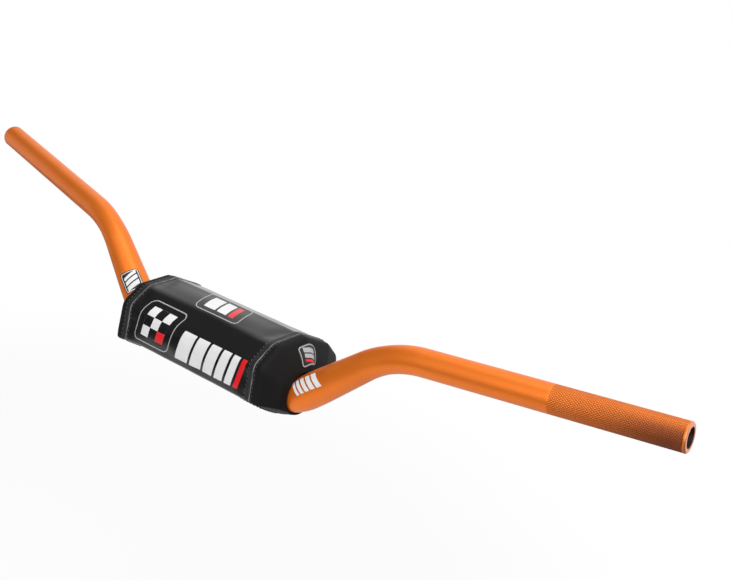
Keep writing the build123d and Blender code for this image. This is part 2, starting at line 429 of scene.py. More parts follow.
# Colours of the finishes, as linear red, green and blue.
tones = {
    "orange": rgb(0.95, 0.220, 0.018),
    "orangeDeep": rgb(0.72, 0.135, 0.010),
    "knurlTip": rgb(0.98, 0.265, 0.032),
    # painted shade down in the knurl's cuts
    "grooveShade": rgb(0.44, 0.084, 0.010),
    # painted shade on the knurl towards its end and away from its top
    "knurlShade": rgb(0.15, 0.027, 0.008),
    "bareMetal": rgb(0.78, 0.50, 0.36),
    # painted shade: the bore's near black stands for the shade inside the tube, with paler specks
    "bore": rgb(0.016, 0.007, 0.006),
    "boreShadeDust": rgb(0.036, 0.015, 0.011),
    "white": rgb(0.81, 0.81, 0.82),
    "paleGrey": rgb(0.42, 0.42, 0.44),
    "printBlack": rgb(0.012, 0.011, 0.012),
    "red": rgb(0.78, 0.012, 0.018),
    "vinyl": rgb(0.0040, 0.0036, 0.0042),
    "vinylPale": rgb(0.0085, 0.0080, 0.0090),
    "cloth": rgb(0.0040, 0.0034, 0.0038),
    "clothPale": rgb(0.0110, 0.0098, 0.0106),
    "tape": rgb(0.0090, 0.0086, 0.0092),
    # painted highlight along the binding's edges
    "tapeEdgeHighlight": rgb(0.24, 0.24, 0.25),
    "thread": rgb(0.060, 0.060, 0.064),
    "threadPale": rgb(0.17, 0.17, 0.18),
    "foam": rgb(0.050, 0.050, 0.054),
    # painted shade in the foam's deep cells
    "foamPoreShade": rgb(0.012, 0.012, 0.014),
}

# Prints on the tube: distance from the left end and arc from the top.
tubePrint = {
    "near": {"centre": (0.3104, -0.0152), "widths": [0.0052, 0.0046, 0.0040, 0.0034, 0.0028],
             "gap": 0.0017, "half": 0.0068, "slant": 0.42},
    "far": {"centre": (0.5620, -0.0099), "widths": [0.0046, 0.0038, 0.0030],
            "gap": 0.0014, "half": 0.0064, "slant": 0.35},
    "blockHalf": (0.0105, 0.0094),
    "blockRounding": 0.0030,
    "line": 0.0007,
    "lineInset": 0.0012,
}


def tubePrints(wire):
    # A row of leaning bars beside the near end of the pad, and a framed block of bars at the far end.
    along, around = pieceCoordinates(wire)
    near, far = (leaningBars(along, around, tubePrint[key]) for key in ("near", "far"))
    block = boxField(along, around, tubePrint["far"]["centre"], tubePrint["blockHalf"],
                     tubePrint["blockRounding"])
    line = keyline(block + tubePrint["lineInset"], tubePrint["line"])
    return inside(nearestOf(near + far)).most(line), inside(block)


def paintTube(wire):
    # Dyed aluminium with a fine blasted grain, here and there a little darker.
    grain = noise(wire, bar["grainScale"], 3.0, 0.6)
    cloud = noise(wire, 38.0, 3.0, 0.55)
    scuff = noise(wire, 420.0, 4.0, 0.7)
    shade = ((cloud - 0.5) * 0.5 + (grain - 0.5) * 0.25 + 0.12).most(0.0).least(1.0)
    colour = shade.mixed(tones["orange"], tones["orangeDeep"])
    white, dark = tubePrints(wire)
    colour = dark.mixed(colour, tones["printBlack"])
    printed = white.most(dark)
    return {
        "Base Color": white.mixed(colour, tones["white"]),
        "Metallic": (1.0 - printed) * 0.55,
        "Roughness": 0.32 + scuff * 0.12 + printed * 0.08,
        "Normal": bump(wire, grain, 0.00004, 0.5),
    }


def paintKnurl(wire):
    # Painted shade darkens the dye down in the cuts and the tips are worn paler; more painted shade
    # darkens it towards the end and away from the top. The cuts are those of knurlHeight, worked out
    # again from the map.
    along, around = pieceCoordinates(wire)
    wound = along * (bar["knurlSlope"] / knurlPitch)
    turns = around * (1 / knurlPitch)
    first, second = (1.0 - abs(way.fraction() * 2.0 - 1.0) for way in (turns + wound, turns - wound))
    high = (first.least(second) * 1.6).least(1.0)
    grain = noise(wire, bar["grainScale"], 3.0, 0.6)
    cloud = noise(wire, 55.0, 3.0, 0.6)
    # 1 on the tips, which are worn paler, and 0 in the cuts, which get painted shade.
    wearAndShade = high.ramp(0.05, 0.95) * (0.72 + cloud * 0.4)
    # Painted shade: darker away from the top of the grip and towards its end, a little patchy.
    lower = abs(around).ramp(*bar["gripShade"])
    paintedShade = along.ramp(bar["knurlLength"], 0.0) * lower * (0.85 + (cloud - 0.5) * 0.4)
    colour = wearAndShade.least(1.0).mixed(tones["grooveShade"], tones["knurlTip"])
    return {
        "Base Color": paintedShade.least(1.0).mixed(colour, tones["knurlShade"]),
        "Roughness": 0.5 - high * 0.12 + grain * 0.1,
        "Normal": bump(wire, high + grain * 0.1, 0.0002, 0.3),
    }


def paintGrain(scale, first, second, rough, roughSpread, detail=3.0, depth=0.6):
    # Two colours mixed by a grain that roughens the surface too.
    def paint(wire):
        grain = noise(wire, scale, detail, depth)
        colour = grain.mixed(tones[first], tones[second])
        return {"Base Color": colour, "Roughness": rough + grain * roughSpread}
    return paint


tubeFinish = newMaterial("anodisedTube", paintTube, {"IOR": 1.5})
knurlFinish = newMaterial("anodisedKnurl", paintKnurl, {"Metallic": 0.55})
cutFinish = newMaterial("cutMetal", paintGrain(900.0, "bareMetal", "orange", 0.28, 0.2), {"Metallic": 0.9})
# The bore's near-black finish is painted shade inside the tube.
boreShadeFinish = newMaterial("boreShadeMetal", paintGrain(600.0, "bore", "boreShadeDust", 0.5, 0.2), {"Metallic": 0.6})


def spread(start, end, step):
    # Even places from start to end, at most a step apart.
    return np.linspace(start, end, max(2, int(math.ceil(abs(end - start) / step)) + 1))


def ringMetres(distance, columns, radius):
    # UV map of a ring grid: distance from the left end, and arc length from the top.
    across = radius[:, None] * np.linspace(-math.pi, math.pi, columns + 1)
    return np.stack(np.broadcast_arrays(distance[:, None], across), axis=-1)


def knurlHeight(distance, angle):
    # Two sets of ridges wound round the grip cross to leave a diamond wherever both stand high:
    # the lower of two triangle waves, cut off flat at the top.
    turns = bar["knurlStarts"] * angle / (2 * math.pi)
    wound = bar["knurlSlope"] * distance[:, None] / knurlPitch
    first, second = (1 - np.abs(np.mod(way, 1.0) * 2 - 1) for way in (turns + wound, turns - wound))
    return np.clip(1.6 * np.minimum(first, second), 0, 1)


def placesAlongBar():
    # Distances of the tube's rings: dense on the knurl, close on the bends and wide on the straights.
    chamfer, support = bar["chamfer"], bar["support"]
    places = [0.0, chamfer, chamfer + support]
    places += list(spread(chamfer + bar["knurlMargin"], bar["knurlLength"], bar["knurlStep"]))
    done = 0.0
    for run in runs + runs[::-1]:
        step = bar["straightStep"] if run["radius"] is None else bar["bendStep"]
        places += [place for place in spread(done, done + run["length"], step)
                   if places[-1] + support < place < fullLength - 2 * chamfer]
        done += run["length"]
    return np.array(places + [fullLength - chamfer - support, fullLength - chamfer, fullLength])


def makeTube():
    # One closed skin: rings carried along the centreline on the outside and back along the bore.
    columns = bar["knurlStarts"] * bar["knurlColumns"]
    angle = np.linspace(-math.pi, math.pi, columns + 1)[:-1]
    distance = placesAlongBar()
    size = barRadius(distance, bar["gripRadius"], bar["clampRadius"])
    size[[0, -1]] -= bar["chamfer"]
    knurlStart = bar["chamfer"] + bar["knurlMargin"]
    near = np.minimum(distance - knurlStart, bar["knurlLength"] - distance)
    edge = np.clip(near / bar["knurlEdge"], 0, 1)[:, None]
    cut = bar["knurlDepth"] * (1 - knurlHeight(distance, angle)) * edge
    outer = ringsAlongBar(distance, size[:, None] - cut, angle)
    finish = np.where((distance[:-1] >= knurlStart) & (distance[1:] <= bar["knurlLength"]), 1, 0)
    finish[[0, -1]] = 2
    store = newStore()
    addGrid(store, outer, ringMetres(distance, columns, size), closeAround=True, surface=finish[:, None])
    chamfer = bar["boreChamfer"]
    inner = np.concatenate([[0.0], spread(chamfer, fullLength - chamfer, bar["boreStep"]), [fullLength]])
    bore = barRadius(inner, bar["gripBore"], bar["clampBore"])
    # The bore's chamfers take the bore's painted shade as well.
    bore[[0, -1]] += chamfer
    wall = ringsAlongBar(inner, bore, angle)
    addGrid(store, wall[::-1], ringMetres(inner[::-1], columns, bore), closeAround=True, surface=3)
    for pair in ([wall[0], outer[0]], [outer[-1], wall[-1]]):
        addGrid(store, np.stack(pair), closeAround=True, surface=2)
    finishes = [tubeFinish, knurlFinish, cutFinish, boreShadeFinish]
    return finishMesh("barTube", store, finishes, "handlebar_tube")


barTube = makeTube()
print("tube made:", len(barTube.data.polygons), "faces")

# The pad: y, z and rounding radius of each corner of its section, from the foot of the front face.
pad = {
    "corners": [
        (-0.0374, -0.0010, 0.0035), (-0.0341, 0.0321, 0.012), (-0.0147, 0.0455, 0.013),
        (0.0153, 0.0470, 0.006), (0.0440, 0.0335, 0.008), (0.0550, 0.0200, 0.008),
        (0.0570, 0.0070, 0.008), (0.0480, -0.0010, 0.004), (0.0045, -0.0165, 0.004),
        (-0.0045, -0.0165, 0.004),
    ],
    "arcPoints": 25,
    "outlineSteps": 5000,
    "frontHem": -0.0274,
    "rearHem": 0.031,
    "rearSeamLevel": 0.0295,
    "seam": 0.078,
    "rim": 0.088,
    "end": 0.102,
    "endNarrowing": 0.6,
    "endCentre": (0.003, -0.003),
    "capLength": 0.020,
    "faceLength": 0.010,
    "collarLength": 0.004,
    "holeClearance": 0.0007,
    "softness": 0.0022,
    "collarSoftness": 0.0006,
    "lean": 1.3,
    "skew": 1.0,
    "leanNear": 0.016,
    "leanFar": 0.034,
    "bendLimit": 0.95,
    "toeShift": (-0.0014, -0.0010, -0.0024),
    "toeReach": (0.060, 0.030, 0.020),
    "toeTop": 1.3,
    "thickness": 0.0012,
}


def roundedOutline(corners, start):
    # Closed outline: each corner's arc touches both its edges at radius / tan(half the corner's angle).
    places = np.array([corner[:2] for corner in corners])
    share = np.linspace(0, 1, pad["arcPoints"])[:, None]
    line = [start]
    for n, here in enumerate(places):
        radius = corners[n][2]
        back = unit(places[n - 1] - here)
        forward = unit(places[(n + 1) % len(corners)] - here)
        half = math.acos(float(back @ forward)) / 2
        centre = here + unit(back + forward) * radius / math.sin(half)
        first, last = (here + way * radius / math.tan(half) - centre for way in (back, forward))
        turn = math.pi - 2 * half
        swung = first * np.sin((1 - share) * turn) + last * np.sin(share * turn)
        line += list(centre + swung / math.sin(turn))
    return np.array(line + [start])


def undersideAt(y):
    # Height of the pad's flat underside: the sole in the middle and a slope to either side.
    places = np.array([pad["corners"][n] for n in (0, -1, -2, -3)])
    return float(np.interp(y, places[:, 0], places[:, 1]))


outline = roundedOutline(pad["corners"], (pad["frontHem"], undersideAt(pad["frontHem"])))
outlineRun = runAlong(outline)
girth = outlineRun[-1]


def sectionAt(s):
    # Point of the section after a run s from the front hem, up the front and over the top.
    s = np.mod(s, girth)
    return np.interp(s, outlineRun, outline[:, 0]), np.interp(s, outlineRun, outline[:, 1])


def runWhere(pickEnd, test):
    # First or last run of the outline for which a test on y and z holds.
    fine = np.linspace(0, girth, pad["outlineSteps"] + 1)[:-1]
    return float(pickEnd(fine[test(*sectionAt(fine))]))


rearSeamRun = runWhere(max, lambda y, z: (y > 0) & (z > pad["rearSeamLevel"]))
rearHemRun = runWhere(max, lambda y, z: (y > pad["rearHem"]) & (z < 0.01))
frontBandRun = runWhere(min, lambda y, z: (y < 0) & (z > 0))
rearBandRun = runWhere(max, lambda y, z: (y > 0) & (z > 0))
# Half the pad's length over its cover, from the middle to the collar's edge on the tube.
meridian = pad["rim"] + pad["capLength"] + pad["faceLength"] + pad["collarLength"]


def softExcess(value, width):
    # How far a value is above 0, rounded off near 0.
    return (np.sqrt(value * value + width * width) + value) / 2


# Where the tube's lower bend starts, its radius, its rise direction and the one across it.
bendStart, bendRadius = runs[-1]["start"][0], bar["bendRadii"][1]
riseWay = unit(np.array([0.0, *bar["corners"][1][1:]]))
acrossWay = np.cross([1.0, 0.0, 0.0], riseWay)


def ringRoundTube(x, turn, radius):
    # Where a tube of that radius crosses the plane at x: sin(bend angle) is the run into the bend
    # over the bend's radius less the point's own height above the axis.
    reach = bendRadius - radius * np.cos(turn)
    angle = np.arcsin(np.clip((x - bendStart) / reach, 0, pad["bendLimit"]))
    height = bendRadius - reach * np.cos(angle)
    return height[..., None] * riseWay + (radius * np.sin(turn))[..., None] * acrossWay


def padForm(s, t):
    # The sewn pad without its swelling. t runs along it from the middle: the section keeps its size
    # to the rim, narrows to the end, then its face blends into the ring round the tube and turns in.
    run = np.abs(t)
    past = run - pad["rim"]
    cap = softExcess(past, pad["softness"])
    face = softExcess(past - pad["capLength"], pad["softness"])
    collar = softExcess(past - pad["capLength"] - pad["faceLength"], pad["collarSoftness"])
    slope = (pad["end"] - pad["rim"]) / pad["capLength"]
    x = run - cap * (1 - slope) - face * slope
    size = 1 - (1 - pad["endNarrowing"]) * (cap - face) / pad["capLength"]
    y, z = (middle + size * (value - middle) for value, middle in zip(sectionAt(s), pad["endCentre"]))
    left = softExcess(pad["faceLength"] - (face - collar), pad["collarSoftness"])
    blend = np.clip(1 - left / pad["faceLength"], 0, 1)
    middle = ringRoundTube(np.full(1, pad["end"]), np.zeros(1), 0.0)[0]
    off = np.stack([x, y, z], axis=-1) - middle
    turn = np.arctan2(off @ acrossWay, off @ riseWay)
    ring = ringRoundTube(pad["end"] - collar, turn, bar["clampRadius"] + pad["holeClearance"])
    ring[..., 0] = np.where(blend > 0, x - collar, x)
    place = np.stack([x, y, z], axis=-1)
    place += (ring - place) * blend[..., None]
    place[..., 0] *= np.where(t < 0, -1, 1)
    return place


def leanWithPad(place):
    # The pad is pulled on a little askew: it leans about the Y axis and is skewed about the Z axis,
    # and not at all at the tube. The foot of its far end sags.
    x, y, z = np.moveaxis(place, -1, 0)
    reach = np.clip((np.abs(x) - bendStart) / bendRadius, 0, pad["bendLimit"])
    lift = bendRadius * (1 - np.sqrt(1 - reach * reach))
    away = np.hypot(y - lift * riseWay[1], z - lift * riseWay[2])
    share = np.clip((away - pad["leanNear"]) / (pad["leanFar"] - pad["leanNear"]), 0, 1)
    share = share * share * (3 - 2 * share)
    skew, lean = (x * math.tan(math.radians(pad[key])) * share for key in ("skew", "lean"))
    outward, forward, low = pad["toeReach"]
    toe = np.clip((-x - outward) / (pad["rim"] - outward), 0, 1) * np.clip(-y / forward, 0, 1)
    toe = toe * np.clip(pad["toeTop"] - z / low, 0, 1)
    return np.stack([x, y + skew, z + lean], axis=-1) + toe[..., None] * np.array(pad["toeShift"])


print("pad outline: girth %.1f mm" % (girth * 1000))

# The cover's cloth: a grid round and along the whole pad, held at its seams and blown out a little.
cloth = {
    "aroundStep": 0.0026,
    "alongStep": 0.0025,
    "inset": 0.0006,
    "frames": 20,
    "cap": 0.0013,
    "smoothing": 3,
    "capEnds": 0.3,
    "crown": 0.0008,
    "ringHold": 0.004,
    "lineHold": 0.55,
    "settings": {
        "quality": 8, "mass": 0.05, "tension_stiffness": 25.0, "compression_stiffness": 25.0,
        "shear_stiffness": 12.5, "bending_stiffness": 6.0, "vertex_group_mass": "held",
        "shrink_min": -0.002, "use_pressure": True, "uniform_pressure_force": 3.0,
    },
}
around = int(round(girth / cloth["aroundStep"]))
along = int(round(2 * meridian / cloth["alongStep"]))
clothT, clothS = np.meshgrid(np.linspace(-meridian, meridian, along + 1),
                             np.arange(around) * girth / around, indexing="ij")


def normalsOf(points):
    # Unit normals of a grid from its two directions; the section runs the way that turns them out.
    aroundWay = np.roll(points, -1, axis=1) - np.roll(points, 1, axis=1)
    return unit(np.cross(np.gradient(points, axis=0), aroundWay))


def heldCorners():
    # The rings round the tube, the end seams, and the hems and the rear seam between them.
    held = np.abs(clothT) > meridian - pad["collarLength"] - cloth["ringHold"]
    held |= np.abs(np.abs(clothT) - pad["seam"]) < cloth["alongStep"] * cloth["lineHold"]
    for run in (0.0, rearHemRun, rearSeamRun):
        off = np.abs(np.mod(clothS - run + girth / 2, girth) - girth / 2)
        held |= (np.abs(clothT) < pad["seam"]) & (off < cloth["aroundStep"] * cloth["lineHold"])
    return held


def simulateCloth():
    # Cloth on the closed grid under pressure; its movement is capped, smoothed and eased at the ends.
    rest = padForm(clothS, clothT)
    start = rest - normalsOf(rest) * cloth["inset"]
    store = newStore()
    addGrid(store, start, closeAround=True)
    mesh = bpy.data.meshes.new("clothStart")
    mesh.from_pydata(start.reshape(-1, 3).tolist(), [], store["quads"][0].tolist())
    sheet = newObject("clothStart", mesh)
    sheet.vertex_groups.new(name="held").add(np.flatnonzero(heldCorners()).tolist(), 1.0, "REPLACE")
    bpy.context.view_layer.update()
    modifier = sheet.modifiers.new("cloth", "CLOTH")
    for key, value in cloth["settings"].items():
        setattr(modifier.settings, key, value)
    modifier.settings.effector_weights.gravity = 0.0
    modifier.point_cache.frame_start = 1
    modifier.point_cache.frame_end = cloth["frames"]
    for number in range(1, cloth["frames"] + 1):
        bpy.context.scene.frame_set(number)
    solved = sheet.evaluated_get(bpy.context.evaluated_depsgraph_get())
    moved = getAll(solved.data.vertices, "co").reshape(rest.shape) - rest
    bpy.context.scene.frame_set(1)
    bpy.data.objects.remove(sheet)
    size = np.linalg.norm(moved, axis=2, keepdims=True)
    print("cloth moved %.2f mm at most, %.2f mm in the middle" % (
        size.max() * 1000, np.median(size) * 1000))
    moved *= np.minimum(1, cloth["cap"] / np.maximum(size, 1e-9))
    for _ in range(cloth["smoothing"]):
        moved[1:-1] = (moved[:-2] + 2 * moved[1:-1] + moved[2:]) / 4
        moved = (np.roll(moved, 1, axis=1) + 2 * moved + np.roll(moved, -1, axis=1)) / 4
    ends = np.clip((np.abs(clothT) - pad["seam"]) / pad["capLength"], 0, 1)
    return moved * (1 - (1 - cloth["capEnds"]) * ends)[..., None]


swelling = simulateCloth()
print("cover swelled")


def cubicTaps(share):
    # Weights of the four neighbours for a smooth curve through them.
    return [
        ((-share + 2) * share - 1) * share / 2,
        ((3 * share - 5) * share * share + 2) / 2,
        ((-3 * share + 4) * share + 1) * share / 2,
        (share - 1) * share * share / 2,
    ]


def swellAt(s, t):
    # The cloth's movement between its grid's corners, from the four nearest in each direction.
    column = np.mod(s, girth) / girth * around
    row = np.clip((t + meridian) / (2 * meridian) * along, 0, along - 1e-6)
    column0, row0 = (np.floor(value).astype(int) for value in (column, row))
    total = np.zeros(np.shape(column) + (3,))
    for i, rowWeight in enumerate(cubicTaps(row - row0)):
        rows = np.clip(row0 + i - 1, 0, along)
        for j, columnWeight in enumerate(cubicTaps(column - column0)):
            columns = np.mod(column0 + j - 1, around)
            total += (rowWeight * columnWeight)[..., None] * swelling[rows, columns]
    return total


pucker = {"height": 0.00012, "reach": 0.006, "clear": 0.0012, "waves": (520, 97, 311), "farShare": 2.3}


def puckers(s, t):
    # Short creases that run away from each end seam: two sines along it, nothing at the seam
    # itself, and dying out within two centimetres of it.
    off = np.abs(np.abs(t) - pad["seam"])
    fade = np.exp(-off / pucker["reach"]) * (1 - np.exp(-off / pucker["clear"]))
    side = np.where(t > 0, 1.0, pucker["farShare"])
    main, drift, small = pucker["waves"]
    wave = np.sin(s * main + 3 * np.sin(s * drift * side)) + 0.6 * np.sin(s * small * side + 1.7)
    return pucker["height"] * fade * wave


def padPoint(s, t, lift=0.0):
    # Point on the finished cover, lifted off it along its normal.
    def skin(s, t):
        return padForm(s, t) + swellAt(s, t)
    s, t, lift = np.broadcast_arrays(s, t, lift)
    reach = 0.0006
    alongWay = skin(s, t + reach) - skin(s, t - reach)
    aroundWay = skin(s + reach, t) - skin(s - reach, t)
    out = unit(np.cross(alongWay, aroundWay))
    return leanWithPad(skin(s, t) + out * (lift + puckers(s, t))[..., None])


# Prints on the pad, by distance along it and run up its section: a chequered block with one red
# cell in a pale frame, leaning bars that grow thinner, and a framed row of three on the top.
motif = {
    "left": {"centre": (-0.0400, 0.0370), "cells": (3, 3), "cell": 0.0098, "slant": 0.2},
    "leftHalf": (0.0225, 0.0205),
    "leftRounding": 0.0060,
    "right": {"centre": (0.03025, 0.0305), "widths": [0.0155, 0.0135, 0.0115, 0.0095, 0.0075, 0.0050],
              "gap": 0.0028, "half": 0.0135, "slant": 0.23},
    "top": {"centre": (0.0030, 0.0830), "widths": [0.0140, 0.0110, 0.0060],
            "gap": 0.0024, "half": 0.0095, "slant": -0.3},
    "topHalf": (0.0260, 0.0145),
    "topRounding": 0.0050,
    "line": 0.0010,
}


def frontPrint(u, v):
    # Masks of what is white, red and a pale line. The last bar of each row is red.
    left, right, top = (motif[key] for key in ("left", "right", "top"))
    lines = [keyline(boxField(u, v, motif[key]["centre"], motif[key + "Half"], motif[key + "Rounding"],
                              motif[key]["slant"]), motif["line"]) for key in ("left", "top")]
    cell = left["cell"]
    redPlace = (left["centre"][0] + cell - cell * left["slant"], left["centre"][1] - cell)
    redCell = boxField(u, v, redPlace, (cell / 2, cell / 2), cornerRadii["redCell"], left["slant"])
    right, top = (leaningBars(u, v, row) for row in (right, top))
    white = chequer(u, v, left).most(inside(nearestOf(right[:-1] + top[:-1])))
    return white, inside(nearestOf([redCell, right[-1], top[-1]])), lines[0].most(lines[1])


def paintVinyl(wire):
    # Black film with a shallow orange-peel ripple, printed in white, red and pale grey.
    ripple = noise(wire, 75.0)
    fine = noise(wire, 700.0)
    white, red, line = frontPrint(*pieceCoordinates(wire))
    colour = fine.mixed(tones["vinyl"], tones["vinylPale"])
    for mask, tone in ((line, "paleGrey"), (white, "white"), (red, "red")):
        colour = mask.mixed(colour, tones[tone])
    return {
        "Base Color": colour,
        "Roughness": 0.15 + fine * 0.06 + white * 0.12,
        "Normal": bump(wire, ripple + fine * 0.04, 0.0003, 0.35),
    }


def paintCloth(pitch, rough):
    # Plain weave: threads cross over and under each other at an even pitch.
    def paint(wire):
        over, under = ((way * (2 * math.pi / pitch)).sine() for way in pieceCoordinates(wire))
        weave = over * under * 0.5 + 0.5
        cloud = noise(wire, 60.0, 3.0, 0.6)
        fuzz = noise(wire, 1500.0, 2.0, 0.6)
        return {
            "Base Color": (weave * 0.5 + cloud * 0.5).mixed(tones["cloth"], tones["clothPale"]),
            "Roughness": rough + fuzz * 0.15,
            "Normal": bump(wire, weave + fuzz * 0.5, 0.00006, 0.6),
        }
    return paint


def paintBinding(wire):
    # Folded tape with a painted highlight along each edge, broken up in patches, and a grain across it.
    edge = abs(pieceCoordinates(wire)[0]).ramp(*binding["highlightEdge"])
    grain = noise(wire, 900.0, 3.0, 0.6)
    highlightBreakup = noise(wire, 90.0, 3.0, 0.6).ramp(0.35, 0.65)
    return {
        "Base Color": (edge * (0.35 + highlightBreakup * 0.65)).mixed(tones["tape"], tones["tapeEdgeHighlight"]),
        "Roughness": 0.42 + grain * 0.15 - edge * 0.1,
        "Normal": bump(wire, grain, 0.00008, 0.5),
    }


def paintFoam(wire):
    # Open cells of two sizes, with painted shade where they are deep.
    big = noise(wire, 260.0, 3.0, 0.6)
    height = cells(wire, 900.0) * 0.6 + big * 0.6
    return {
        "Base Color": height.ramp(0.25, 0.75).mixed(tones["foamPoreShade"], tones["foam"]),
        "Roughness": 0.85 + big * 0.1,
        "Normal": bump(wire, height, 0.0004, 0.8),
    }


def paintWebbing(wire):
    # Ribs across the strap and a herringbone of threads between them.
    u, v = pieceCoordinates(wire)
    rib = (u * (2 * math.pi / strap["ribPitch"])).sine() * 0.5 + 0.5
    slant = ((abs(v) + u) * (2 * math.pi / strap["herringbone"])).sine() * 0.5 + 0.5
    fuzz = noise(wire, 1600.0, 2.0, 0.6)
    return {
        "Base Color": (rib * 0.5 + slant * 0.5).mixed(tones["cloth"], grey(0.05)),
        "Roughness": 0.7 + fuzz * 0.15,
        "Normal": bump(wire, rib * 0.6 + slant * 0.5 + fuzz * 0.3, 0.00014, 0.7),
    }


def paintTape(scale, rough):
    # Loops or hooks: a dense stand of small bumps.
    def paint(wire):
        nap = cells(wire, scale)
        fuzz = noise(wire, scale * 1.7, 3.0, 0.7)
        return {
            "Base Color": (nap * 0.6 + fuzz * 0.5).mixed(grey(0.05), grey(0.016)),
            "Roughness": rough + fuzz * 0.1,
            "Normal": bump(wire, fuzz - nap, 0.0005, 0.9),
        }
    return paint


vinylFinish = newMaterial("glossVinyl", paintVinyl, {"IOR": 1.5})
endFinish = newMaterial("endCloth", paintCloth(0.0011, 0.5), {"Specular IOR Level": 0.14})
rearFinish = newMaterial("rearCloth", paintCloth(0.0013, 0.6), {"Specular IOR Level": 0.14})
threadFinish = newMaterial("thread", paintGrain(2400.0, "thread", "threadPale", 0.5, 0.2, 2.0, 0.5))

# Sewn panels of the cover.
panels = {
    "step": 0.0012,
    "seamGap": 0.0002,
    "edgeDip": 0.0005,
    "edgeReach": 0.0011,
    "edgeFade": 0.006,
    "slitFront": 0.0085,
    "slitRear": 0.0090,
}


def edgeDrop(value):
    # Height lost close to either border of a panel, where its raw edge is turned under: a bell
    # curve of the distance from the border.
    near = np.minimum(value - value.min(), value.max() - value)
    return -panels["edgeDip"] * np.exp(-(near / panels["edgeReach"]) ** 2)


def makePanel(name, sLimits, tLimits, finish, replaced):
    # A grid of the cover between its limits round and along the pad, given its wall inwards.
    t, s = np.meshgrid(spread(*tLimits, panels["step"]), spread(*sLimits, panels["step"]), indexing="ij")
    flat = np.clip((pad["rim"] + pad["capLength"] - np.abs(t)) / panels["edgeFade"], 0, 1)
    lift = (edgeDrop(t) + edgeDrop(s)) * flat
    outer = padPoint(s, t, lift)
    inner = padPoint(s, t, lift - pad["thickness"])
    metres = np.stack([t, s], axis=-1)
    store = newStore()
    addGrid(store, outer, metres)
    addGrid(store, inner[::-1], metres[::-1])
    for rim in (np.s_[:, 0], np.s_[:, -1], np.s_[0], np.s_[-1]):
        addGrid(store, np.stack([outer[rim], inner[rim]], axis=1))
    finishMesh(name, store, [finish], replaced)


def makePanels():
    seam = pad["seam"]
    past = seam + panels["seamGap"]
    slitRear, slitFront = (runWhere(max, lambda y, z, edge=panels[key]: (z < 0) & (y > edge))
                           for key in ("slitRear", "slitFront"))
    endRuns = (slitFront - girth, slitRear)
    rearRuns = (rearSeamRun + panels["seamGap"], rearHemRun)
    makePanel("padWrap", (0.0, rearSeamRun), (-seam, seam), vinylFinish, "cover_wrap")
    makePanel("padRear", rearRuns, (-seam, seam), rearFinish, "cover_back")
    makePanel("padEndLeft", endRuns, (past, meridian), endFinish, "end_panel_left")
    makePanel("padEndRight", endRuns, (-meridian, -past), endFinish, "end_panel_right")


makePanels()
print("panels made")

# Binding tape folded over each end seam.
binding = {
    "half": 0.0025,
    "height": 0.0009,
    "bead": 0.00025,
    "beadWidth": 0.0005,
    "sink": 0.0003,
    "arch": (0.62, 0.1),
    "beadPlace": 0.8,
    # distance from the tape's middle over which its painted edge highlight comes in
    "highlightEdge": (0.0018, 0.0023),
    "step": 0.0011,
    "profile": 20,
}
bindingT = pad["seam"] + panels["seamGap"] / 2
bindingFinish = newMaterial("bindingTape", paintBinding)


def bindingProfile():
    # Closed loop of offsets across the tape and lifts off the cover: a low arch with a bead at each
    # edge above, and a flat underside.
    across = binding["half"] * np.cos(np.linspace(0, math.pi, binding["profile"]))
    share = np.abs(across) / binding["half"]
    level, rise = binding["arch"]
    arch = binding["height"] * (level + rise * (1 - share ** 2))
    off = (share - binding["beadPlace"]) * binding["half"]
    bead = binding["bead"] * np.exp(-(off / binding["beadWidth"]) ** 2)
    top = (arch + bead) * np.sqrt(np.clip(1 - share ** 8, 0, 1))
    under = across[::-1][1:-1]
    return np.append(across, under), np.append(top, np.full(len(under), -binding["sink"]))


def makeBinding(name, t, replaced):
    offset, lift = bindingProfile()
    s = spread(frontBandRun, rearBandRun, binding["step"])[:, None]
    points = padPoint(s, t + offset, lift)
    store = newStore()
    metres = np.stack(np.broadcast_arrays(np.append(offset, offset[0]), s), axis=-1)
    addGrid(store, points, metres, closeAround=True)
    capEnds(store, points)
    finishMesh(name, store, [bindingFinish], replaced)


makeBinding("bindingLeft", bindingT, "seam_binding_left")
makeBinding("bindingRight", -bindingT, "seam_binding_right")
print("binding made")

# Stitches: short threads that stand a little off the surface and dive in at both ends.
thread = {
    "pitch": 0.0036,
    "length": 0.0026,
    "radius": 0.00024,
    "rise": 0.00021,
    "sink": 0.00020,
    "rows": 7,
    "sides": 4,
    "besideBinding": 0.0014,
    "besideHem": 0.0022,
    "endMargin": 0.006,
    "probe": 0.0005,
}


